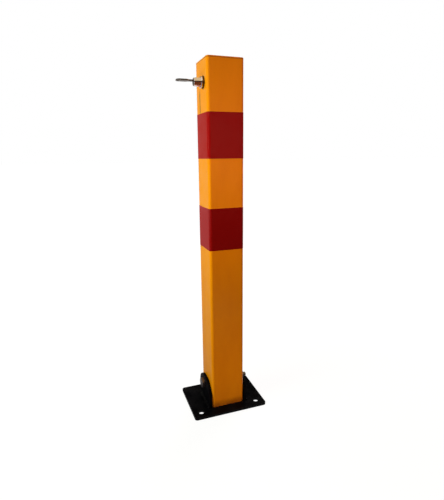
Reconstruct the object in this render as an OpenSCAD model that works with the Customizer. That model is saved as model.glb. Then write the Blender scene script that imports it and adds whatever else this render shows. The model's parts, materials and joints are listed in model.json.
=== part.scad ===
// Fold-down parking post on a bolted base plate, upright and unlocked, with its key in the lock.
// Millimetres. The origin is the middle of the base plate's underside.
// +Z is up, the front of the post faces -Y, and the lock is on the -X side.

/* [Base plate] */
// Width of the base plate, left to right
plate_w = 136; // [130:1:180]
// Depth of the base plate, front to back
plate_d = 100; // [98:1:140]
// Thickness of the base plate
plate_t = 4; // [3:0.5:8]
// Radius of the base plate's corners
plate_corner_r = 5; // [2:0.5:8]
// Diameter of the three anchor holes
anchor_d = 10; // [8:0.5:12]
// Distance from the front anchor holes to the plate's front and side edges
anchor_inset = 15; // [11:0.5:16]
// Distance from the rear anchor hole to the plate's rear edge
rear_anchor_inset = 10; // [8:0.5:12]

/* [Ears] */
// Height of an ear above the pivot
ear_over_pivot = 14.5; // [14:0.5:20]
// Thickness of an ear
ear_t = 4.5; // [3:0.5:6]
// Gap between the side of the post and an ear
ear_gap = 1; // [0.8:0.1:2]
// Leg length of the weld bead along the foot of an ear
bead_leg = 3; // [2:0.5:4]

/* [Post] */
// Outside width of the square tube
post_w = 60; // [54:1:68]
// Height of the post with its cap, above the base plate
post_h = 591; // [450:1:900]
// Wall thickness of the tube
post_wall = 2; // [1.5:0.25:2.5]
// Outside radius of the tube's corners
post_corner_r = 4.5; // [3:0.5:6]
// Thickness of the cap's plate
cap_t = 2; // [1.5:0.5:4]
// Depth of the cap's spigot inside the tube
cap_spigot = 10; // [5:1:15]

/* [Reflective bands] */
// Height of a band
band_h = 70; // [40:1:90]
// Distance from the post's top to the upper band
band_from_top = 79; // [60:1:90]
// Plain stretch between the two bands
band_gap = 78.5; // [40:0.5:90]
// Thickness of the band's film
band_t = 0.3; // [0.2:0.1:0.6]

/* [Pivot] */
// Height of the pivot above the base plate, less half of the post's width
pivot_extra = 3; // [3:0.5:6]
// Distance of the pivot behind the middle of the post
pivot_back = 4.5; // [3:0.5:6]
// Diameter of the pivot bolt
bolt_d = 12; // [10:1:12]
// Outside diameter of the sleeve through the post
sleeve_d = 18; // [16:1:20]

/* [Lock] */
// Distance from the post's top down to the lock's axis
lock_from_top = 35; // [30:0.5:50]
// Distance of the lock's axis from the inside of the post's front wall
lock_to_front = 18; // [17.5:0.5:19]
// Diameter of the lock's collar against the post
collar_d = 17.5; // [16.5:0.5:22]
// Thickness of the lock's collar
collar_t = 5; // [3:0.5:7]
// Diameter of the lock's barrel at its outer end
barrel_d = 12; // [12:0.2:14]
// Diameter of the lock's barrel where it meets the collar
barrel_base_d = 14.4; // [14:0.2:16]
// Distance that the barrel stands out from the post
barrel_out = 15.5; // [14:0.5:20]
// Diameter of the plug that the key turns
plug_d = 10; // [9.6:0.1:10.4]
// Distance that the key stands out from the barrel
key_out = 27; // [26:1:36]
// Width of the key's bow
bow_w = 14; // [12:1:24]
// Thickness of the key
key_t = 1.8; // [1.6:0.1:2.2]
// Distance from the lock's axis to the crank pin
crank_r = 10; // [9:0.25:10.5]

/* [Locking rod] */
// Diameter of the locking rod
rod_d = 10; // [8:0.5:10.5]
// Distance of the rod's axis from the inside of the post's front wall
rod_to_front = 12; // [11.5:0.25:12.5]
// Wall thickness of the keeper ring
keeper_wall = 3.2; // [2.5:0.1:3.6]

/* [Hidden] */

$fn = 96;

// Overlap that lets a cut run past a face
past = 1;
// Radial gap where two pieces are welded or screwed together
seat_gap = 0.05;
// Radial gap of a running fit
run_gap = 0.08;

// Heights of the plate, the post and the pivot
plate_top = plate_t;
post_foot = plate_top;
post_top = post_foot + post_h;
tube_top = post_top - cap_t;
pivot_h = post_w / 2 + pivot_extra;
pivot_z = post_foot + pivot_h;

// Half widths of the tube, outside and inside, and the ears' faces along X
half_w = post_w / 2;
inner_half = half_w - post_wall;
inner_corner_r = post_corner_r - post_wall;
lock_forward = inner_half - lock_to_front;
rod_forward = inner_half - rod_to_front;
ear_in = half_w + ear_gap;
ear_out = ear_in + ear_t;
// An ear is as deep as the post, and its round top is fuller at the rear than at the front
ear_h = pivot_h + ear_over_pivot;
ear_front_r = post_w / 2;
ear_rear_r = 0.75 * ear_front_r;
ear_top_z = plate_top + ear_h;

// The tube's rear foot is cut to an arc about the pivot, so that it swings clear of the plate
heel_gap = 0.5;
heel_r = pivot_h - heel_gap;

// The cap's spigot, and the rounding of its top edge
spigot_gap = 0.15;
spigot_wall = 1.5;
cap_edge = 0.9;
cap_edge_mid = 0.3 * cap_edge;

// Slit between the ends of a band, on the rear face
band_seam = 0.6;

// Shoulder bolt in proportion to its diameter, with a thinner thread for the washer and the nut
bolt_af = 1.5 * bolt_d;
bolt_head_h = 0.46 * bolt_d;
bolt_thread_d = 2 / 3 * bolt_d;
shoulder_short = 0.3;
bolt_proud = 5;
bolt_point = 1.2;
bolt_chamfer = 0.8;
nut_af = 1.6 * bolt_thread_d;
nut_h = 0.8 * bolt_thread_d;
washer_d = 2 * bolt_thread_d;
washer_t = 1.6;
bolt_hole_gap = 0.25;
bolt_end = ear_out + washer_t + nut_h + bolt_proud;
// The sleeve stands out a little from the post, so that the post's paint clears the ears
sleeve_proud = 0.7 * ear_gap;

// Lock: faces along X, from the key's side to the inside of the post
barrel_face = -half_w - barrel_out;
plug_recess = 0.3;
plug_face = barrel_face + plug_recess;
body_len = 10;
body_end = -half_w + body_len;
neck_len = 4;
plug_step = body_end - neck_len;
plug_play = 0.3;
plug_end = body_end + plug_play;
cam_t = 2.5;
cam_end = plug_end + cam_t;
lock_z = post_top - lock_from_top;
lock_y = -lock_forward;
thread_d = 14;
lock_nut_af = 19;
lock_nut_t = 3.5;
lock_nut_chamfer = 0.6;
collar_edge = min((collar_d - barrel_base_d) / 2, collar_t / 2);
barrel_edge = 0.5;

// Rear end of the plug: a round neck and a square drive for the cam
neck_d = 8;
drive_w = 5.6;
drive_gap = 0.1;
drive_short = 0.3;
drive_end = cam_end - drive_short;
cam_screw_d = 4;
screw_hole_depth = 8.5;
screw_start = drive_end - screw_hole_depth + 1;

// Key and keyway, which lies above the lock's axis
key_lift = 1.8;
blade_w = 6.5;
blade_len = 17.6;
blade_point = 1.6;
keyway_gap = 0.2;
key_neck_w = 8.5;
key_neck = 7.5;
bow_corner_r = 0.38 * bow_w;
bow_hole_d = 3;

// Wafers in the plug: pitch, thickness and height, and the cuts that they ride on in the key
wafer_count = 5;
wafer_first = 3.4;
wafer_pitch = 3;
wafer_t = 1.2;
wafer_low = -1.3;
wafer_high = 3.5;
wafer_gap = 0.15;
key_cuts = [1.2, 0.6, 1.6, 0.8, 1.4];

// Crank: the pin starts up and forward at the crank angle, and a quarter turn lowers the rod
crank_angle = 45;
pin_d = 5;
pin_rivet_d = 4;
cam_hub_r = 7;
cam_tip_r = 4.5;
cam_washer_d = 9.5;
cam_washer_t = 0.8;
cam_screw_head_d = 7.6;
cam_screw_head_h = 2.4;
cam_screw_chamfer = 0.7;
cam_screw_slot = 1;
pin_y = lock_y - crank_r * cos(crank_angle);
pin_z = lock_z + crank_r * sin(crank_angle);
rod_travel = 2 * crank_r * sin(crank_angle);

// Locking rod, raised: its tip stops just above the plate once it is lowered
rod_y = -rod_forward;
rod_tip_gap = 0.9;
rod_tip_z = plate_top + rod_tip_gap + rod_travel;
rod_point = 1.2;
rod_hole_gap = 0.3;

// Keeper ring: low enough for the folded post to lie over it
keeper_hole_gap = 0.8;
keeper_d = rod_d + 2 * (keeper_hole_gap + keeper_wall);
keeper_clear = 1.5;
keeper_h = pivot_extra + pivot_back - keeper_clear;
keeper_bead = 2;

// The rear wall ends higher than the side walls, so that it swings over the keeper ring
keeper_swing_gap = 1;
keeper_back = rod_forward + pivot_back - keeper_d / 2;
rear_wall_r = norm([keeper_back, pivot_h - keeper_h]) - keeper_swing_gap;
rear_wall_back = half_w - pivot_back;
rear_wall_foot = pivot_z - sqrt(rear_wall_r * rear_wall_r - rear_wall_back * rear_wall_back);

// Lift plate: seated on a flat of the rod, with a level slot for the crank pin
lift_flat = 1;
lift_t = 3;
lift_x = -rod_d / 2 + lift_flat;
lift_margin = 3;
lift_half_h = 9;
slot_play = 0.45;
slot_end_gap = 0.5;
slot_front = lock_forward + crank_r + pin_d / 2 + slot_end_gap;
slot_back = lock_forward + crank_r * cos(crank_angle) - pin_d / 2 - slot_end_gap;
lift_front = slot_front + lift_margin;
lift_back = min(slot_back, rod_forward - rod_d / 2) - lift_margin / 2;
rod_over_lift = 6;
rod_top_z = pin_z + lift_half_h + rod_over_lift;
pin_end_gap = 0.4;

// Guides for the rod inside the tube
lower_guide_t = 4;
lower_guide_lift = 2;
lower_guide_z = rod_tip_z + lower_guide_lift;
lower_guide_margin = 5;
lower_guide_back = rod_y + rod_d / 2 + lower_guide_margin;
upper_guide_t = 3;
upper_guide_gap = 12;
upper_guide_z = pin_z - rod_travel - lift_half_h - upper_guide_gap - upper_guide_t;

// Flat shape with four equal round corners, centred on the origin
module rounded_rect(w, d, r) {
    square([w - 2 * r, d], center = true);
    square([w, d - 2 * r], center = true);
    for (x = [-1, 1], y = [-1, 1])
        translate([x * (w / 2 - r), y * (d / 2 - r)])
            circle(r);
}

// Turns a piece that is drawn along Z so that it lies along X
module along_x(x = 0, y = 0, z = 0) {
    translate([x, y, z])
        rotate([0, 90, 0])
            children();
}

// Hexagonal prism with its upper corners turned off to a cone
module hex_prism(af, h, chamfer) {
    corner_r = af / sqrt(3);
    intersection() {
        cylinder(r = corner_r, h = h, $fn = 6);
        rotate_extrude()
            polygon([
                [0, 0],
                [corner_r + past, 0],
                [corner_r + past, h - chamfer - past * tan(30)],
                [af / 2 - chamfer, h],
                [0, h]
            ]);
    }
}

// Two discs of different radius joined by their common tangents, the second one along X
module link_shape(r1, r2, dist) {
    lean = (r1 - r2) / dist;
    rise = sqrt(1 - lean * lean);
    circle(r1);
    translate([dist, 0])
        circle(r2);
    polygon([
        [r1 * lean, r1 * rise],
        [r1 * lean, -r1 * rise],
        [dist + r2 * lean, -r2 * rise],
        [dist + r2 * lean, r2 * rise]
    ]);
}

module base_plate() {
    color([0.05, 0.05, 0.06])
        difference() {
            linear_extrude(plate_t)
                rounded_rect(plate_w, plate_d, plate_corner_r);
            for (x = [-1, 1])
                translate([x * (plate_w / 2 - anchor_inset), anchor_inset - plate_d / 2, -past])
                    cylinder(d = anchor_d, h = plate_t + 2 * past);
            translate([0, plate_d / 2 - rear_anchor_inset, -past])
                cylinder(d = anchor_d, h = plate_t + 2 * past);
        }
}

// Upright plate with a round top and the pivot's hole, from x to x + ear_t
module ear(x) {
    color([0.06, 0.06, 0.07])
        difference() {
            along_x(x)
                linear_extrude(ear_t)
                    intersection() {
                        hull() {
                            translate([ear_front_r - ear_top_z, 0])
                                circle(ear_front_r);
                            translate([ear_rear_r - ear_top_z, ear_front_r - ear_rear_r])
                                circle(ear_rear_r);
                            translate([-plate_top, -ear_front_r])
                                square([plate_top, post_w]);
                        }
                        translate([-ear_top_z, -ear_front_r])
                            square([ear_h, post_w]);
                    }
            along_x(x - past, pivot_back, pivot_z)
                cylinder(r = bolt_d / 2 + bolt_hole_gap, h = ear_t + 2 * past);
        }
}

module left_ear() {
    ear(-ear_out);
}

module right_ear() {
    ear(ear_in);
}

// Section of a weld bead that fills a corner and bulges a little
module bead_section(leg) {
    intersection() {
        translate([-leg, -leg])
            circle(norm([leg, 2 * leg]), $fn = 48);
        square(leg);
    }
}

// Weld beads along the outer feet of the ears and around the keeper ring
module base_welds() {
    color([0.09, 0.09, 0.1]) {
        for (side = [-1, 1])
            scale([side, 1, 1])
                translate([ear_out, half_w, plate_top])
                    rotate([90, 0, 0])
                        linear_extrude(post_w)
                            bead_section(bead_leg);
        translate([0, rod_y, plate_top])
            rotate_extrude()
                translate([keeper_d / 2, 0])
                    bead_section(keeper_bead);
    }
}

// Ring on the base plate that the rod's tip drops into
module keeper_ring() {
    color([0.1, 0.1, 0.11])
        translate([0, rod_y, plate_top])
            difference() {
                cylinder(d = keeper_d, h = keeper_h);
                translate([0, 0, -past])
                    cylinder(r = rod_d / 2 + keeper_hole_gap, h = keeper_h + 2 * past);
            }
}

module pivot_bolt() {
    color([0.75, 0.76, 0.78]) {
        scale([-1, 1, 1])
            along_x(ear_out, pivot_back, pivot_z)
                hex_prism(bolt_af, bolt_head_h, bolt_chamfer);
        along_x(0, pivot_back, pivot_z)
            rotate_extrude()
                polygon([
                    [0, -ear_out],
                    [bolt_d / 2, -ear_out],
                    [bolt_d / 2, ear_out - shoulder_short],
                    [bolt_thread_d / 2, ear_out - shoulder_short],
                    [bolt_thread_d / 2, bolt_end - bolt_point],
                    [bolt_thread_d / 2 - bolt_point, bolt_end],
                    [0, bolt_end]
                ]);
    }
}

module pivot_washer() {
    color([0.72, 0.73, 0.75])
        along_x(ear_out, pivot_back, pivot_z)
            difference() {
                cylinder(d = washer_d, h = washer_t);
                translate([0, 0, -past])
                    cylinder(r = bolt_thread_d / 2 + bolt_hole_gap, h = washer_t + 2 * past);
            }
}

module pivot_nut() {
    color([0.74, 0.75, 0.77])
        along_x(ear_out + washer_t, pivot_back, pivot_z)
            difference() {
                hex_prism(nut_af, nut_h, bolt_chamfer);
                translate([0, 0, -past])
                    cylinder(r = bolt_thread_d / 2 + seat_gap, h = nut_h + 2 * past);
            }
}

// Square tube with its rear foot cut to an arc, its rear wall cut shorter, and holes for
// the sleeve and the lock
module post_tube() {
    color([0.96, 0.55, 0.05])
        difference() {
            translate([0, 0, post_foot])
                linear_extrude(tube_top - post_foot)
                    difference() {
                        rounded_rect(post_w, post_w, post_corner_r);
                        rounded_rect(2 * inner_half, 2 * inner_half, inner_corner_r);
                    }
            difference() {
                translate([-half_w - past, pivot_back, post_foot - past])
                    cube([post_w + 2 * past, half_w - pivot_back + past, pivot_h + past]);
                along_x(-half_w - 2 * past, pivot_back, pivot_z)
                    cylinder(r = heel_r, h = post_w + 4 * past);
            }
            translate([post_corner_r - half_w, inner_half - past, post_foot - past])
                cube([
                    post_w - 2 * post_corner_r,
                    post_wall + 2 * past,
                    rear_wall_foot - post_foot + past
                ]);
            along_x(-half_w - past, pivot_back, pivot_z)
                cylinder(r = sleeve_d / 2 + seat_gap, h = post_w + 2 * past);
            along_x(-half_w - past, lock_y, lock_z)
                cylinder(r = thread_d / 2 + seat_gap, h = post_wall + 2 * past);
        }
}

// Cap with a softened top edge and a spigot that is pressed into the tube
module top_cap() {
    color([0.94, 0.53, 0.05]) {
        translate([0, 0, tube_top])
            hull() {
                linear_extrude(cap_t - cap_edge)
                    rounded_rect(post_w, post_w, post_corner_r, $fn = 48);
                linear_extrude(cap_t - cap_edge_mid)
                    rounded_rect(post_w - 2 * cap_edge_mid, post_w - 2 * cap_edge_mid,
                        post_corner_r - cap_edge_mid, $fn = 48);
                linear_extrude(cap_t)
                    rounded_rect(post_w - 2 * cap_edge, post_w - 2 * cap_edge,
                        post_corner_r - cap_edge, $fn = 48);
            }
        translate([0, 0, tube_top - cap_spigot])
            linear_extrude(cap_spigot)
                difference() {
                    rounded_rect(2 * (inner_half - spigot_gap), 2 * (inner_half - spigot_gap),
                        inner_corner_r);
                    square(2 * (inner_half - spigot_gap - spigot_wall), center = true);
                }
    }
}

// Film wrapped once around the post, with its ends meeting on the rear face
module band(z) {
    color([0.68, 0.03, 0.05])
        translate([0, 0, z])
            linear_extrude(band_h)
                difference() {
                    rounded_rect(post_w + 2 * band_t, post_w + 2 * band_t, post_corner_r + band_t);
                    rounded_rect(post_w, post_w, post_corner_r);
                    translate([0, half_w])
                        square([band_seam, 2 * past], center = true);
                }
}

module upper_band() {
    band(post_top - band_from_top - band_h);
}

module lower_band() {
    band(post_top - band_from_top - 2 * band_h - band_gap);
}

// Sleeve welded through the post, which turns on the pivot bolt
module pivot_sleeve() {
    color([0.6, 0.6, 0.62])
        along_x(-half_w - sleeve_proud, pivot_back, pivot_z)
            difference() {
                cylinder(d = sleeve_d, h = post_w + 2 * sleeve_proud);
                translate([0, 0, -past])
                    cylinder(r = bolt_d / 2 + run_gap, h = post_w + 2 * (sleeve_proud + past));
            }
}

// Outline of a guide, which fills the inside of the tube
module guide_outline() {
    rounded_rect(2 * (inner_half - seat_gap), 2 * (inner_half - seat_gap), inner_corner_r);
}

// Guide in the foot of the post, in front of the sleeve
module lower_guide() {
    color([0.55, 0.55, 0.57])
        translate([0, 0, lower_guide_z])
            linear_extrude(lower_guide_t)
                difference() {
                    intersection() {
                        guide_outline();
                        translate([-half_w, -half_w])
                            square([post_w, lower_guide_back + half_w]);
                    }
                    translate([0, rod_y])
                        circle(rod_d / 2 + rod_hole_gap);
                }
}

// Guide across the post, below the lock
module upper_guide() {
    color([0.55, 0.55, 0.57])
        translate([0, 0, upper_guide_z])
            linear_extrude(upper_guide_t)
                difference() {
                    guide_outline();
                    translate([0, rod_y])
                        circle(rod_d / 2 + rod_hole_gap);
                }
}

// Chromed housing: barrel, rounded collar against the post, and a threaded body through its wall
module lock_housing() {
    collar_face = -half_w - collar_t;
    color([0.85, 0.86, 0.88])
        along_x(0, lock_y, lock_z)
            difference() {
                rotate_extrude()
                    union() {
                        translate([0, collar_face])
                            square([collar_d / 2 - collar_edge, collar_t]);
                        translate([0, collar_face + collar_edge])
                            square([collar_d / 2, collar_t - collar_edge]);
                        translate([collar_d / 2 - collar_edge, collar_face + collar_edge])
                            intersection() {
                                circle(collar_edge);
                                translate([0, -collar_edge])
                                    square(collar_edge);
                            }
                        translate([0, barrel_face])
                            polygon([
                                [0, 0],
                                [barrel_d / 2 - barrel_edge, 0],
                                [barrel_d / 2, barrel_edge],
                                [barrel_base_d / 2, barrel_out - collar_t],
                                [0, barrel_out - collar_t]
                            ]);
                        translate([0, -half_w])
                            square([thread_d / 2, body_end + half_w]);
                    }
                translate([0, 0, barrel_face - past])
                    cylinder(r = plug_d / 2 + seat_gap, h = plug_step - barrel_face + past);
                translate([0, 0, barrel_face])
                    cylinder(r = neck_d / 2 + seat_gap, h = body_end - barrel_face + past);
            }
}

module lock_nut() {
    color([0.7, 0.71, 0.73])
        along_x(-inner_half, lock_y, lock_z)
            difference() {
                hex_prism(lock_nut_af, lock_nut_t, lock_nut_chamfer);
                translate([0, 0, -past])
                    cylinder(r = thread_d / 2 + seat_gap, h = lock_nut_t + 2 * past);
            }
}

// Distance along X from the plug's face to the middle of a wafer
function wafer_x(i) = wafer_first + i * wafer_pitch;

// Plug with a keyway, a slot for each wafer, a square drive and a screw hole
module lock_plug() {
    slot_t = wafer_t + 2 * wafer_gap;
    color([0.8, 0.78, 0.7])
        translate([0, lock_y, lock_z])
            difference() {
                union() {
                    along_x(plug_face)
                        cylinder(d = plug_d, h = plug_step - seat_gap - plug_face);
                    along_x(plug_face)
                        cylinder(d = neck_d, h = plug_end - plug_face);
                    translate([plug_face, -drive_w / 2, -drive_w / 2])
                        cube([drive_end - plug_face, drive_w, drive_w]);
                }
                translate([plug_face - past, -blade_w / 2 - keyway_gap, key_lift - key_t / 2 - keyway_gap])
                    cube([blade_len + 2 * keyway_gap + past, blade_w + 2 * keyway_gap,
                        key_t + 2 * keyway_gap]);
                for (i = [0 : wafer_count - 1])
                    translate([plug_face + wafer_x(i) - slot_t / 2, -plug_d, wafer_low - wafer_gap])
                        cube([slot_t, 2 * plug_d, wafer_high - wafer_low + 2 * wafer_gap]);
                along_x(drive_end - screw_hole_depth)
                    cylinder(r = cam_screw_d / 2 + seat_gap, h = screw_hole_depth + past);
            }
}

// Wafers, each with a window around the key, which holds it inside the plug
module lock_wafers() {
    color([0.78, 0.65, 0.32])
        for (i = [0 : wafer_count - 1])
            along_x(plug_face + wafer_x(i) - wafer_t / 2, lock_y, lock_z)
                linear_extrude(wafer_t)
                    difference() {
                        intersection() {
                            circle(plug_d / 2 - wafer_gap);
                            translate([-wafer_high, -plug_d])
                                square([wafer_high - wafer_low, 2 * plug_d]);
                        }
                        translate([-key_lift - key_t / 2 - keyway_gap, -blade_w / 2 - keyway_gap])
                            square([key_t + 2 * keyway_gap,
                                blade_w - key_cuts[i] + 2 * keyway_gap]);
                    }
}

// Flat key: bow with a ring hole, neck against the plug's face, and a blade cut for the wafers
module key() {
    bow_end = -barrel_out - key_out;
    neck_end = -barrel_out - key_neck;
    cut_half = wafer_t / 2 + wafer_gap;
    cut_slope = 2;
    color([0.7, 0.7, 0.68])
        translate([-half_w, lock_y, lock_z + key_lift - key_t / 2])
            linear_extrude(key_t)
                difference() {
                    union() {
                        translate([(bow_end + neck_end) / 2, 0])
                            rounded_rect(neck_end - bow_end, bow_w, bow_corner_r);
                        translate([neck_end - past, -key_neck_w / 2])
                            square([key_neck + plug_recess + past, key_neck_w]);
                        translate([-barrel_out + plug_recess, 0])
                            polygon([
                                [-past, -blade_w / 2],
                                [blade_len - blade_point, -blade_w / 2],
                                [blade_len, blade_point - blade_w / 2],
                                [blade_len, blade_w / 2 - 2 * blade_point],
                                [blade_len - blade_point, blade_w / 2 - blade_point],
                                [wafer_first, blade_w / 2],
                                [-past, blade_w / 2]
                            ]);
                    }
                    translate([bow_end + bow_hole_d, 0])
                        circle(d = bow_hole_d);
                    for (i = [0 : wafer_count - 1])
                        translate([-barrel_out + plug_recess + wafer_x(i), blade_w / 2 - key_cuts[i]])
                            polygon([
                                [-cut_half, 0],
                                [cut_half, 0],
                                [cut_half + cut_slope, cut_slope],
                                [-cut_half - cut_slope, cut_slope]
                            ]);
                }
}

// Crank arm on the plug's square drive, pointing forward and up
module cam() {
    color([0.66, 0.67, 0.69])
        translate([plug_end, lock_y, lock_z])
            rotate([180 - crank_angle, 0, 0])
                rotate([0, 90, 0])
                    rotate([0, 0, 90])
                        linear_extrude(cam_t)
                            difference() {
                                link_shape(cam_hub_r, cam_tip_r, crank_r);
                                rotate([0, 0, -crank_angle])
                                    square(drive_w + 2 * drive_gap, center = true);
                                translate([crank_r, 0])
                                    circle(pin_rivet_d / 2 + seat_gap);
                            }
}

// Stepped pin riveted into the crank arm
module crank_pin() {
    color([0.78, 0.79, 0.81])
        along_x(0, pin_y, pin_z)
            rotate_extrude()
                polygon([
                    [0, plug_end],
                    [pin_rivet_d / 2, plug_end],
                    [pin_rivet_d / 2, cam_end],
                    [pin_d / 2, cam_end],
                    [pin_d / 2, lift_x - pin_end_gap],
                    [0, lift_x - pin_end_gap]
                ]);
}

module cam_washer() {
    color([0.72, 0.73, 0.75])
        along_x(cam_end, lock_y, lock_z)
            difference() {
                cylinder(d = cam_washer_d, h = cam_washer_t);
                translate([0, 0, -past])
                    cylinder(r = cam_screw_d / 2 + bolt_hole_gap, h = cam_washer_t + 2 * past);
            }
}

module cam_screw() {
    head_x = cam_end + cam_washer_t;
    color([0.74, 0.75, 0.77])
        translate([0, lock_y, lock_z])
            difference() {
                along_x(0)
                    rotate_extrude()
                        polygon([
                            [0, screw_start],
                            [cam_screw_d / 2, screw_start],
                            [cam_screw_d / 2, head_x],
                            [cam_screw_head_d / 2, head_x],
                            [cam_screw_head_d / 2, head_x + cam_screw_head_h - cam_screw_chamfer],
                            [cam_screw_head_d / 2 - cam_screw_chamfer, head_x + cam_screw_head_h],
                            [0, head_x + cam_screw_head_h]
                        ]);
                translate([
                    head_x + cam_screw_head_h - cam_screw_slot,
                    -cam_screw_head_d,
                    -cam_screw_slot / 2
                ])
                    cube([cam_screw_slot + past, 2 * cam_screw_head_d, cam_screw_slot]);
            }
}

// Round rod with a pointed tip and a flat for the lift plate
module locking_rod() {
    color([0.68, 0.69, 0.71])
        translate([0, rod_y, 0])
            difference() {
                rotate_extrude()
                    polygon([
                        [0, rod_tip_z],
                        [rod_d / 2 - rod_point, rod_tip_z],
                        [rod_d / 2, rod_tip_z + rod_point],
                        [rod_d / 2, rod_top_z],
                        [0, rod_top_z]
                    ]);
                translate([lift_x - rod_d, -rod_d, pin_z - lift_half_h])
                    cube([rod_d, 2 * rod_d, 2 * lift_half_h]);
            }
}

// Plate welded to the rod's flat, with the crank pin's level slot
module lift_plate() {
    slot_half = pin_d / 2 + slot_play;
    color([0.62, 0.63, 0.65])
        difference() {
            translate([lift_x - lift_t, -lift_front, pin_z - lift_half_h])
                cube([lift_t, lift_front - lift_back, 2 * lift_half_h]);
            translate([lift_x - lift_t - past, -slot_front, pin_z - slot_half])
                cube([lift_t + 2 * past, slot_front - slot_back, 2 * slot_half]);
        }
}

base_plate();
left_ear();
right_ear();
base_welds();
keeper_ring();
pivot_bolt();
pivot_washer();
pivot_nut();
post_tube();
top_cap();
upper_band();
lower_band();
pivot_sleeve();
lower_guide();
upper_guide();
lock_housing();
lock_nut();
lock_plug();
lock_wafers();
key();
cam();
crank_pin();
cam_washer();
cam_screw();
locking_rod();
lift_plate();
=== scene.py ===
import json
from math import pi, radians

import bpy
from mathutils import Matrix, Vector

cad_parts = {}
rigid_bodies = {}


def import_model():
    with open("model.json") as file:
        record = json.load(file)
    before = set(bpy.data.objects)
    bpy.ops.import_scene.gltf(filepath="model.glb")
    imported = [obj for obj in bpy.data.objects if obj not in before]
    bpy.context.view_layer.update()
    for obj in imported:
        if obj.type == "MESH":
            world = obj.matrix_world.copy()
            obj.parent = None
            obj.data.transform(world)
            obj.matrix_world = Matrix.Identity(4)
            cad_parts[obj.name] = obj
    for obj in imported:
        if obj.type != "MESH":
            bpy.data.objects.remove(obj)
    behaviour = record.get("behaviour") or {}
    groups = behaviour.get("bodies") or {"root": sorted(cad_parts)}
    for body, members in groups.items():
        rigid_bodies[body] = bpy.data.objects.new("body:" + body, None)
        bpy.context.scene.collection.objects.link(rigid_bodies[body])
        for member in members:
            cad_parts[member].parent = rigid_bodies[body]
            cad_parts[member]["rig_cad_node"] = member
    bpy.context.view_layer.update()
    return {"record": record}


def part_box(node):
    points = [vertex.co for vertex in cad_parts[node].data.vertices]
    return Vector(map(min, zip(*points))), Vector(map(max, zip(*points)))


# Looks of the fold-down parking post: materials, floor, lamps and camera. Lengths are in metres.
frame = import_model()

MM = 0.001

# Camera, fitted to the photograph's edges of the post and the plate
CAMERA_AT = (-0.21528, -0.61947, 0.44947)
CAMERA_YAW = 19.286
CAMERA_PITCH = -13.619
CAMERA_ROLL = -0.596
PHOTO_LONG_SIDE = 500
FOCAL_PIXELS = 386.352
SENSOR = 36.0

# Linear base colours of the post's paint, and of the painted shadow and shade round the lock
ORANGE = (0.85, 0.275, 0.001)
ORANGE_DEEP = (0.81, 0.250, 0.001)
ORANGE_PALE = (0.90, 0.32, 0.003)
# Painted shade and road grime at the post's foot
ORANGE_SHADED_GRIMY = (0.24, 0.055, 0.006)
PAINT_SPECK = (0.25, 0.09, 0.02)
PAINT_WORN = (0.20, 0.10, 0.05)
CAP_JOINT = (0.20, 0.05, 0.005)
# Brown of the lock's painted shadow below it and of the painted shade round its collar
LOCK_SHADE_BROWN = (0.075, 0.042, 0.010)

# Linear base colours of the bands' film, and the tint of its sheen
FILM_RED = (0.19, 0.001, 0.0014)
FILM_RED_DEEP = (0.17, 0.0009, 0.0012)
# Painted shade: darker red of the lower band
FILM_RED_SHADED = (0.075, 0.0005, 0.0007)
FILM_SEAM = (0.12, 0.002, 0.003)
FILM_MARK = (0.4, 0.03, 0.025)
FILM_GRIME = (0.10, 0.012, 0.010)
FILM_SHEEN = (1.0, 0.01, 0.01)

# Linear base colours of the base's paint
BLACK = (0.0008, 0.0009, 0.0018)
BLACK_WORN = (0.004, 0.004, 0.0055)
BLACK_RUBBED = (0.11, 0.11, 0.12)
DUST = (0.16, 0.14, 0.12)

# Linear base colours of the metals
BARE_STEEL = (0.50, 0.49, 0.48)
STEEL_DARK = (0.30, 0.29, 0.28)
STEEL_STAIN = (0.16, 0.08, 0.045)
ZINC = (0.19, 0.18, 0.185)
ZINC_DULL = (0.07, 0.068, 0.067)
CHROME = (0.82, 0.82, 0.84)
CHROME_DULL = (0.55, 0.53, 0.50)
NICKEL = (0.20, 0.185, 0.16)
NICKEL_DULL = (0.09, 0.082, 0.07)
KEY_STEEL = (0.42, 0.40, 0.37)
KEY_TARNISH = (0.26, 0.22, 0.18)
BRASS = (0.70, 0.50, 0.20)
BRASS_DULL = (0.45, 0.30, 0.12)

tube_low, tube_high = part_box("post_tube")
plate_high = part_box("base_plate")[1]
band_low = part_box("upper_band")[0]
lock_low, lock_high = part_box("lock_housing")
lock_middle = (lock_low + lock_high) / 2
lock_radius = (lock_high.z - lock_low.z) / 2

# Top of the painted shade and grime at the post's foot
FOOT_SHADE_TOP = plate_high.z + 16 * MM

# Painted shadow of the lock, a streak on the left face below it: its place along Y, half width, ends, fades
# and drift
STREAK_DEPTH = 9 * MM
STREAK_HALF_WIDTH = 4.0 * MM
STREAK_TOP = lock_low.z + 4 * MM
STREAK_LOW = lock_low.z - 46 * MM
STREAK_TOP_FADE = 12 * MM
STREAK_LOW_FADE = 16 * MM
STREAK_DRIFT = 0.8 * MM

# Ring of painted shade round the lock's collar, painted shade on the collar itself, and the dark joint under
# the cap
RING_WIDTH = 2.5 * MM
COLLAR_SHADE_START = tube_low.x - 3.4 * MM
COLLAR_SHADE_FULL = tube_low.x - 2.4 * MM
CAP_JOINT_REACH = 0.9 * MM


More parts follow.
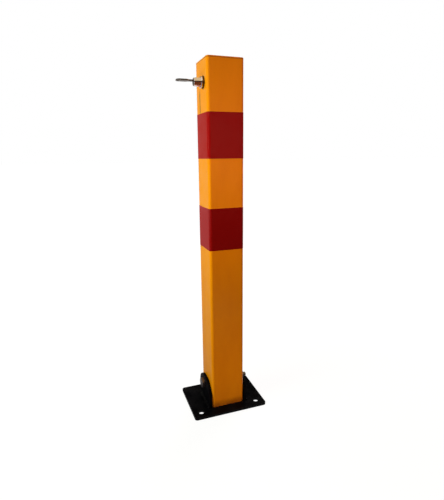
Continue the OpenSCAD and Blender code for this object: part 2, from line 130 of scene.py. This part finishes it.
class Tree:
    """Node tree of a material or world, whose calls add nodes and link or set their inputs."""

    def __init__(self, owner):
        owner.use_nodes = True
        self.nodes = owner.node_tree.nodes
        self.links = owner.node_tree.links

    def put(self, socket, value):
        if isinstance(value, bpy.types.NodeSocket):
            self.links.new(value, socket)
        elif isinstance(value, tuple) and len(value) == 3 and len(socket.default_value) == 4:
            socket.default_value = (*value, 1.0)
        else:
            socket.default_value = value

    def add(self, kind, inputs=None, **settings):
        node = self.nodes.new(kind)
        for name, value in settings.items():
            setattr(node, name, value)
        for key, value in (inputs or {}).items():
            self.put(node.inputs[key], value)
        return node

    def math(self, operation, a, b=0.0):
        return self.add("ShaderNodeMath", {0: a, 1: b}, operation=operation).outputs[0]

    def seen(self):
        """1 for what the camera sees, also in gloss and through glass, and 0 for bounced light."""
        path = self.add("ShaderNodeLightPath").outputs
        indirect = self.math("MAXIMUM", path["Is Glossy Ray"], path["Is Transmission Ray"])
        return self.math("MAXIMUM", path["Is Camera Ray"], indirect)


class Surface(Tree):
    """Node tree of a material, with its Principled shader and patterns in the object's coordinates."""

    def __init__(self, name):
        self.material = bpy.data.materials.new(name)
        super().__init__(self.material)
        self.shader = self.nodes["Principled BSDF"]
        self.place = self.add("ShaderNodeTexCoord").outputs["Object"]

    def shade(self, **values):
        """Sets the shader's sockets; an underscore in a name stands for a space."""
        for name, value in values.items():
            self.put(self.shader.inputs[name.replace("_", " ")], value)

    def show(self, result):
        """Puts another shader in the place of the Principled one."""
        self.put(self.nodes["Material Output"].inputs["Surface"], result)
        self.nodes.remove(self.shader)

    def axis(self, index):
        """X, Y or Z of the object coordinates."""
        return self.add("ShaderNodeSeparateXYZ", {0: self.place}).outputs[index]

    def stretched(self, scale):
        """Object coordinates multiplied by a scale along each axis."""
        return self.add("ShaderNodeMapping", {"Vector": self.place, "Scale": scale}).outputs[0]

    def noise(self, scale, detail=3.0, roughness=0.55, vector=None):
        node = self.add("ShaderNodeTexNoise", {
            "Vector": vector or self.place,
            "Scale": scale,
            "Detail": detail,
            "Roughness": roughness,
        })
        return node.outputs[0]

    def cell_edges(self, scale):
        """Distance to the nearest edge between random cells."""
        node = self.add("ShaderNodeTexVoronoi", {"Vector": self.place, "Scale": scale},
                        feature="DISTANCE_TO_EDGE")
        return node.outputs["Distance"]

    def span(self, value, low, high, to_low=0.0, to_high=1.0):
        """Smooth step of value from low to high."""
        node = self.add("ShaderNodeMapRange", {
            "Value": value,
            "From Min": low,
            "From Max": high,
            "To Min": to_low,
            "To Max": to_high,
        }, interpolation_type="SMOOTHSTEP")
        return node.outputs[0]

    def near(self, value, middle, reach):
        """1 where value is at middle, falling to 0 at reach on both sides."""
        off = self.math("ABSOLUTE", self.math("SUBTRACT", value, middle))
        return self.span(off, 0.0, reach, 1.0, 0.0)

    def mix(self, factor, a, b):
        node = self.add("ShaderNodeMix", data_type="RGBA")
        for index, value in zip((0, 6, 7), (factor, a, b)):
            self.put(node.inputs[index], value)
        return node.outputs[2]

    def cover(self, below, mask, share, above):
        """Lays a share of one colour over another where the mask is 1."""
        return self.mix(self.math("MULTIPLY", mask, share), below, above)

    def bump(self, height, strength, distance, normal=None):
        node = self.add("ShaderNodeBump", {
            "Height": height,
            "Strength": strength,
            "Distance": distance,
        })
        if normal:
            self.put(node.inputs["Normal"], normal)
        return node.outputs[0]

    def edges(self, radius, low, high):
        """1 on convex and concave edges within radius, 0 on flat faces."""
        round_normal = self.add("ShaderNodeBevel", {"Radius": radius}, samples=6).outputs[0]
        normal = self.add("ShaderNodeNewGeometry").outputs["Normal"]
        dot = self.add("ShaderNodeVectorMath", {0: round_normal, 1: normal},
                       operation="DOT_PRODUCT").outputs["Value"]
        return self.span(dot, high, low)


def scratches(tree, scale, threshold, tilt=(0.3, 0.2, 0.1)):
    """Sparse fine lines: thin cuts through a stretched noise."""
    turned = tree.add("ShaderNodeMapping", {
        "Vector": tree.place,
        "Rotation": tilt,
        "Scale": (scale, scale * 0.06, scale * 0.35),
    }).outputs[0]
    lines = tree.near(tree.noise(1.0, 2.0, 0.5, turned), 0.5, threshold)
    patches = tree.span(tree.noise(scale * 0.05, 2.0), 0.55, 0.7)
    return tree.math("MULTIPLY", lines, patches)


def paint_tone(tree):
    """Orange with slight changes of tone, pale clouds and dark specks."""
    tone = tree.noise(1.0, 4.0, 0.6, tree.stretched((34.0, 34.0, 12.0)))
    colour = tree.mix(tree.span(tone, 0.3, 0.7), ORANGE_DEEP, ORANGE)
    cloud = tree.span(tree.noise(28.0, 5.0, 0.6, tree.stretched((1.0, 1.0, 0.35))), 0.45, 0.8)
    colour = tree.cover(colour, cloud, 0.35, ORANGE_PALE)
    specks = tree.span(tree.noise(900.0, 1.0), 0.69, 0.74)
    return tree.cover(colour, specks, 0.4, PAINT_SPECK)


def foot_shade_and_grime(tree, height):
    """Patchy painted shade and road grime at the post's foot, fading upwards from the plate."""
    fade = tree.span(height, FOOT_SHADE_TOP, plate_high.z, 0.0, 0.75)
    patchy = tree.span(tree.noise(60.0, 4.0, 0.6), 0.3, 0.6, 0.7, 1.0)
    return tree.math("MULTIPLY", fade, patchy)


def shadow_streak(tree, height):
    """Painted shadow of the lock: a narrow patchy streak, which drifts to the sides and fades at both ends.
    """
    drift = tree.span(tree.noise(1.0, 3.0, 0.6, tree.stretched((0.0, 0.0, 60.0))), 0.2, 0.8,
                      -STREAK_DRIFT, STREAK_DRIFT)
    width = tree.near(tree.math("ADD", tree.axis(1), drift), STREAK_DEPTH, STREAK_HALF_WIDTH)
    length = tree.math("MULTIPLY", tree.span(height, STREAK_LOW, STREAK_LOW + STREAK_LOW_FADE),
                       tree.span(height, STREAK_TOP, STREAK_TOP - STREAK_TOP_FADE))
    patchy = tree.span(tree.noise(180.0, 5.0, 0.7), 0.3, 0.6, 0.45, 0.9)
    return tree.math("MULTIPLY", tree.math("MULTIPLY", width, length), patchy)


def lock_shade_marks(tree, height):
    """Painted shade on the left face: the lock's painted shadow below it, and a ring of painted shade round
    its collar.
    """
    from_lock = tree.add("ShaderNodeVectorMath", {
        0: tree.stretched((0.0, 1.0, 1.0)),
        1: (0.0, lock_middle.y, lock_middle.z),
    }, operation="DISTANCE").outputs["Value"]
    ring = tree.span(from_lock, lock_radius + RING_WIDTH, lock_radius, 0.0, 0.8)
    on_left = tree.span(tree.axis(0), tube_low.x + 2 * MM, tube_low.x + MM)
    return tree.math("MULTIPLY", tree.math("MAXIMUM", shadow_streak(tree, height), ring), on_left)


def post_paint():
    """Orange powder coat: orange peel, tone changes, painted shade and grime at the foot, painted shadow and
    shade round the lock, thin wear on edges, the cap's joint.
    """
    tree = Surface("post_paint")
    height = tree.axis(2)
    # Painted shade and road grime at the foot, where the post meets the plate
    colour = tree.mix(foot_shade_and_grime(tree, height), paint_tone(tree), ORANGE_SHADED_GRIMY)
    # Painted shadow of the lock below it, and painted shade round its collar
    colour = tree.mix(lock_shade_marks(tree, height), colour, LOCK_SHADE_BROWN)
    worn = tree.math("MULTIPLY", tree.edges(0.8 * MM, 0.80, 0.97),
                     tree.span(tree.noise(140.0, 4.0, 0.7), 0.56, 0.66))
    colour = tree.cover(colour, worn, 0.8, PAINT_WORN)
    colour = tree.cover(colour, scratches(tree, 900.0, 0.012), 0.4, ORANGE_PALE)
    joint = tree.near(height, tube_high.z, CAP_JOINT_REACH)
    colour = tree.cover(colour, joint, 0.75, CAP_JOINT)
    roughness = tree.span(tree.noise(55.0, 4.0, 0.6), 0.3, 0.7, 0.32, 0.42)
    peel = tree.bump(tree.noise(420.0, 2.0, 0.5), 0.18, 0.35 * MM)
    wavy = tree.bump(tree.noise(24.0, 2.0, 0.5), 0.10, 1.2 * MM, peel)
    cut = tree.bump(joint, 0.6, -0.3 * MM, wavy)
    normal = tree.bump(worn, 0.3, -0.15 * MM, cut)
    tree.shade(Base_Color=colour, Roughness=roughness, Normal=normal, Specular_IOR_Level=0.12)
    return tree.material


def band_film():
    """Dark red reflective film: fine cells under a smooth clear face, scratches, grimy edges, and painted
    shade on the lower band.
    """
    tree = Surface("band_film")
    tone = tree.noise(14.0, 3.0)
    colour = tree.mix(tree.span(tone, 0.3, 0.7), FILM_RED_DEEP, FILM_RED)
    # Painted shade: the lower band's film darker, standing for the light falling off towards the floor
    lower = tree.span(tree.axis(2), band_low.z, band_low.z - 20 * MM, 0.0, 0.8)
    colour = tree.mix(lower, colour, FILM_RED_SHADED)
    cell = tree.cell_edges(420.0)
    seams = tree.span(cell, 0.0, 0.09, 1.0, 0.0)
    colour = tree.cover(colour, seams, 0.12, FILM_SEAM)
    marks = scratches(tree, 700.0, 0.006, (0.2, 0.5, 0.3))
    colour = tree.cover(colour, marks, 0.2, FILM_MARK)
    colour = tree.cover(colour, tree.edges(0.5 * MM, 0.86, 0.985), 0.35, FILM_GRIME)
    roughness = tree.span(tree.noise(70.0, 4.0), 0.3, 0.7, 0.15, 0.22)
    facets = tree.bump(cell, 0.03, 0.2 * MM)
    ripple = tree.bump(tree.noise(32.0, 2.0, 0.5), 0.03, 0.8 * MM, facets)
    tree.shade(Base_Color=colour, Roughness=roughness, Normal=ripple, Specular_IOR_Level=0.30,
               Sheen_Weight=0.75, Sheen_Roughness=0.8, Sheen_Tint=FILM_SHEEN)
    return tree.material


def black_paint():
    """Black enamel on the base: fine texture, pale dust in patches, thin rubbed edges."""
    tree = Surface("black_paint")
    colour = tree.mix(tree.span(tree.noise(40.0, 4.0, 0.6), 0.35, 0.75), BLACK, BLACK_WORN)
    dust = tree.span(tree.noise(110.0, 6.0, 0.7), 0.52, 0.78)
    colour = tree.cover(colour, dust, 0.03, DUST)
    rubbed = tree.math("MULTIPLY", tree.edges(0.7 * MM, 0.75, 0.95),
                       tree.span(tree.noise(230.0, 5.0, 0.7), 0.5, 0.62))
    colour = tree.cover(colour, rubbed, 0.25, BLACK_RUBBED)
    roughness = tree.span(tree.noise(80.0, 4.0), 0.3, 0.7, 0.34, 0.5)
    grain = tree.bump(tree.noise(650.0, 3.0, 0.6), 0.22, 0.25 * MM)
    normal = tree.bump(tree.noise(60.0, 3.0, 0.5), 0.2, 0.5 * MM, grain)
    tree.shade(Base_Color=colour, Roughness=roughness, Normal=normal, Specular_IOR_Level=0.04)
    return tree.material


def metal(name, bright, dull, rough_low, rough_high, line_scale, line_strength, stain=0.0):
    """Bare or plated metal with fine working lines, dull patches and a share of stain."""
    tree = Surface(name)
    patches = tree.span(tree.noise(260.0, 5.0, 0.65), 0.4, 0.72)
    colour = tree.mix(patches, bright, dull)
    if stain:
        spots = tree.span(tree.noise(150.0, 6.0, 0.7), 0.58, 0.72)
        colour = tree.cover(colour, spots, stain, STEEL_STAIN)
    lines = tree.noise(1.0, 3.0, 0.6, tree.stretched(line_scale))
    roughness = tree.span(lines, 0.3, 0.7, rough_low, rough_high)
    normal = tree.bump(lines, line_strength, 0.1 * MM)
    tree.shade(Base_Color=colour, Metallic=1.0, Roughness=roughness, Normal=normal)
    return tree.material


def lock_chrome():
    """Polished chrome with hairlines and dull spots, and painted shade where the collar meets the paint."""
    tree = Surface("chrome")
    dull = tree.span(tree.noise(500.0, 4.0, 0.6), 0.5, 0.75)
    colour = tree.cover(CHROME, dull, 0.5, CHROME_DULL)
    # Painted shade on the collar's side next to the paint, which is also rougher there
    collar_shade = tree.math("MULTIPLY", tree.span(tree.axis(0), COLLAR_SHADE_START, COLLAR_SHADE_FULL),
                     tree.span(tree.noise(600.0, 4.0, 0.6), 0.2, 0.5, 0.7, 0.95))
    colour = tree.mix(collar_shade, colour, LOCK_SHADE_BROWN)
    lines = tree.noise(1.0, 3.0, 0.6, tree.stretched((300.0, 2200.0, 2200.0)))
    uneven = tree.math("ADD", tree.math("MULTIPLY", lines, 0.2), collar_shade)
    roughness = tree.span(uneven, 0.0, 1.0, 0.16, 0.6)
    tree.shade(Base_Color=colour, Metallic=1.0, Roughness=roughness,
               Normal=tree.bump(lines, 0.05, 0.1 * MM))
    return tree.material


MATERIALS = {
    "post_paint": post_paint(),
    "band_film": band_film(),
    "black_paint": black_paint(),
    "zinc": metal("zinc", ZINC, ZINC_DULL, rough_low=0.22, rough_high=0.42,
                  line_scale=(1800.0, 1800.0, 1800.0), line_strength=0.15),
    "bare_steel": metal("bare_steel", BARE_STEEL, STEEL_DARK, rough_low=0.28, rough_high=0.5,
                        line_scale=(2400.0, 2400.0, 90.0), line_strength=0.2, stain=0.5),
    "chrome": lock_chrome(),
    "plug_metal": metal("plug_metal", NICKEL, NICKEL_DULL, rough_low=0.2, rough_high=0.36,
                        line_scale=(300.0, 2600.0, 2600.0), line_strength=0.1),
    "key_metal": metal("key_metal", KEY_STEEL, KEY_TARNISH, rough_low=0.2, rough_high=0.38,
                       line_scale=(160.0, 3200.0, 900.0), line_strength=0.15),
    "brass": metal("brass", BRASS, BRASS_DULL, rough_low=0.25, rough_high=0.4,
                   line_scale=(500.0, 2400.0, 2400.0), line_strength=0.12),
}

for subpart in frame["record"]["subparts"]:
    node = next(o for o in bpy.context.scene.objects if o.get("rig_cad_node") == subpart["node"])
    node.data.materials.clear()
    node.data.materials.append(MATERIALS[subpart["material_slot"]])


# Tone of the surroundings and of the floor's glow, and strength of the even light on the object
WHITE = (1.0, 1.0, 1.0)
AMBIENT = 0.16

# Floor: half its width, its bounced tone, and its glow, which rises to full between two distances
FLOOR_HALF = 30.0
FLOOR_ALBEDO = 0.12
FLOOR_GLOW = 0.91
FLOOR_NEAR = 0.1
FLOOR_CLEAR = 1.6

# Studio that shows in the object's gloss: the room's size, where its tones change, and the tones
ROOM_HALF = 4.0
ROOM_HEIGHT = 2.2
WALL_TO_WALL = (-ROOM_HALF, ROOM_HALF)
FRONT_WALL = -ROOM_HALF / 2
CEILING_DARKENS = 1.9
FRONT_BROWN_TOP = 0.6
FRONT_DARK_TOP = 1.5
LEFT_WALL_TOP = 1.7
DARK = (0.02, 0.02, 0.02)
CREAM = (0.78, 0.56, 0.30)
BROWN = (0.15, 0.035, 0.01)
TAN = (0.22, 0.17, 0.11)
WINDOW = (0.85, 0.83, 0.92)
REAR_GREY = (0.16, 0.13, 0.11)
LEFT_GREY = (0.36, 0.34, 0.34)


def level(x, y, z):
    """Corners of a level rectangle between two values of x and of y."""
    return [(x[0], y[0], z), (x[1], y[0], z), (x[1], y[1], z), (x[0], y[1], z)]


def facing_x(x, y, z):
    """Corners of an upright rectangle between two values of y and of z."""
    return [(x, y[0], z[0]), (x, y[1], z[0]), (x, y[1], z[1]), (x, y[0], z[1])]


def facing_y(x, y, z):
    """Corners of an upright rectangle between two values of x and of z."""
    return [(x[0], y, z[0]), (x[1], y, z[0]), (x[1], y, z[1]), (x[0], y, z[1])]


# Cards round the object, and mats just above the floor: corners and tone
CARDS = {
    "pale_ceiling": (level(WALL_TO_WALL, (FRONT_WALL, CEILING_DARKENS), ROOM_HEIGHT), CREAM),
    "left_window": (level((-ROOM_HALF, -0.4), (-1.4, 0.3), ROOM_HEIGHT - MM), WINDOW),
    "rear_ceiling": (level(WALL_TO_WALL, (CEILING_DARKENS, ROOM_HALF), ROOM_HEIGHT), DARK),
    "front_low_card": (facing_y(WALL_TO_WALL, FRONT_WALL, (0.0, FRONT_BROWN_TOP)), BROWN),
    "front_card": (facing_y(WALL_TO_WALL, FRONT_WALL, (FRONT_BROWN_TOP, FRONT_DARK_TOP)), DARK),
    "front_top_card": (facing_y(WALL_TO_WALL, FRONT_WALL, (FRONT_DARK_TOP, ROOM_HEIGHT)), CREAM),
    "left_wall_card": (facing_x(-ROOM_HALF, (-ROOM_HALF, ROOM_HALF / 2), (0.0, LEFT_WALL_TOP)), DARK),
    "right_wall_card": (facing_x(ROOM_HALF, WALL_TO_WALL, (0.0, ROOM_HEIGHT)), DARK),
    "left_card": (facing_y((-1.0, -2 * ROOM_HALF), ROOM_HALF, (0.0, ROOM_HEIGHT)), TAN),
    "rear_card": (facing_y((-0.3, ROOM_HALF), ROOM_HALF, (0.5, ROOM_HEIGHT)), DARK),
    "rear_mat": (level((0.2, ROOM_HALF), (0.5, ROOM_HALF), MM), REAR_GREY),
    "left_mat": (level((-2.0, -0.03), (0.0, 3.0), MM), LEFT_GREY),
    "front_mat": (level((-2.0, 2.0), (-2.0, -0.06), MM), BROWN),
}

# Lamps: place, aim, side of the square, power, colour and spread in degrees
LAMPS = {
    "key": ((-0.61, -0.10, 0.50), (0.0, 0.0, 0.44), 0.36, 5.0, (0.88, 1.0, 0.78), 180),
    "front": ((0.07, -0.36, 0.46), (0.0, 0.0, 0.46), 0.22, 0.40, (1.0, 0.51, 0.38), 140),
    "foot": ((0.06, -0.34, 0.06), (0.0, 0.0, 0.06), 0.12, 0.037, (1.0, 0.62, 0.50), 70),
    "rear": ((0.9, 0.9, 0.9), (0.0, 0.0, 0.3), 0.8, 16.0, (1.0, 0.86, 0.76), 180),
    "top": ((0.10, 0.15, 1.20), (0.0, 0.0, 0.6), 0.2, 1.4, (1.0, 0.88, 0.76), 180),
}


def floor_material():
    """White to the camera and to reflections, with the object's soft shadow; grey for bounced light."""
    tree = Surface("floor")
    away = tree.add("ShaderNodeVectorMath", {0: tree.place}, operation="LENGTH").outputs["Value"]
    glow_level = tree.span(away, FLOOR_NEAR, FLOOR_CLEAR, FLOOR_GLOW, 1.0)
    plain = tree.add("ShaderNodeBsdfDiffuse", {"Color": (FLOOR_ALBEDO,) * 3}).outputs[0]
    glow = tree.add("ShaderNodeEmission", {"Color": WHITE, "Strength": glow_level}).outputs[0]
    bright = tree.add("ShaderNodeAddShader", {0: plain, 1: glow}).outputs[0]
    tree.show(tree.add("ShaderNodeMixShader", {0: tree.seen(), 1: plain, 2: bright}).outputs[0])
    return tree.material


def card_material(name, colour):
    tree = Surface(name)
    tone = tree.add("ShaderNodeEmission", {"Color": colour, "Strength": 1.0}).outputs[0]
    tree.show(tone)
    return tree.material


def add_sheet(name, corners, material):
    """Four-cornered stage surface."""
    mesh = bpy.data.meshes.new(name)
    mesh.from_pydata(corners, [], [(0, 1, 2, 3)])
    mesh.materials.append(material)
    sheet = bpy.data.objects.new(name, mesh)
    bpy.context.scene.collection.objects.link(sheet)
    return sheet


def add_card(name, corners, colour):
    """Card or mat of the studio, which only shows in the object's gloss."""
    card = add_sheet(name, corners, card_material(name, colour))
    card.visible_camera = False
    card.visible_diffuse = False
    card.visible_shadow = False


def set_world():
    """White to the camera, gloss and glass; a weaker even light on the object."""
    world = bpy.data.worlds.new("surroundings")
    bpy.context.scene.world = world
    tree = Tree(world)
    strength = tree.add("ShaderNodeMapRange", {"Value": tree.seen(), "To Min": AMBIENT}).outputs[0]
    background = tree.nodes["Background"]
    tree.put(background.inputs["Color"], WHITE)
    tree.put(background.inputs["Strength"], strength)


def add_lamp(name, at, aim, size, power, colour, spread):
    """Square area lamp, which lights the object and doesn't show in its gloss."""
    lamp = bpy.data.lights.new(name, "AREA")
    lamp.size = size
    lamp.energy = power
    lamp.color = colour
    lamp.spread = radians(spread)
    holder = bpy.data.objects.new(name, lamp)
    holder.location = at
    holder.rotation_euler = (Vector(aim) - Vector(at)).to_track_quat("-Z", "Y").to_euler()
    holder.visible_camera = False
    holder.visible_glossy = False
    bpy.context.scene.collection.objects.link(holder)


def add_camera():
    data = bpy.data.cameras.new("camera")
    data.sensor_width = SENSOR
    data.lens = FOCAL_PIXELS * SENSOR / PHOTO_LONG_SIDE
    camera = bpy.data.objects.new("camera", data)
    turn = (
        Matrix.Rotation(-radians(CAMERA_YAW), 4, "Z")
        @ Matrix.Rotation(pi / 2 + radians(CAMERA_PITCH), 4, "X")
        @ Matrix.Rotation(radians(CAMERA_ROLL), 4, "Z")
    )
    camera.matrix_world = Matrix.Translation(CAMERA_AT) @ turn
    bpy.context.scene.collection.objects.link(camera)
    bpy.context.scene.camera = camera


add_sheet("floor", level((-FLOOR_HALF, FLOOR_HALF), (-FLOOR_HALF, FLOOR_HALF), 0.0), floor_material())
for name, card in CARDS.items():
    add_card(name, *card)
set_world()
for name, lamp in LAMPS.items():
    add_lamp(name, *lamp)
add_camera()
bpy.context.scene.view_settings.view_transform = "Standard"
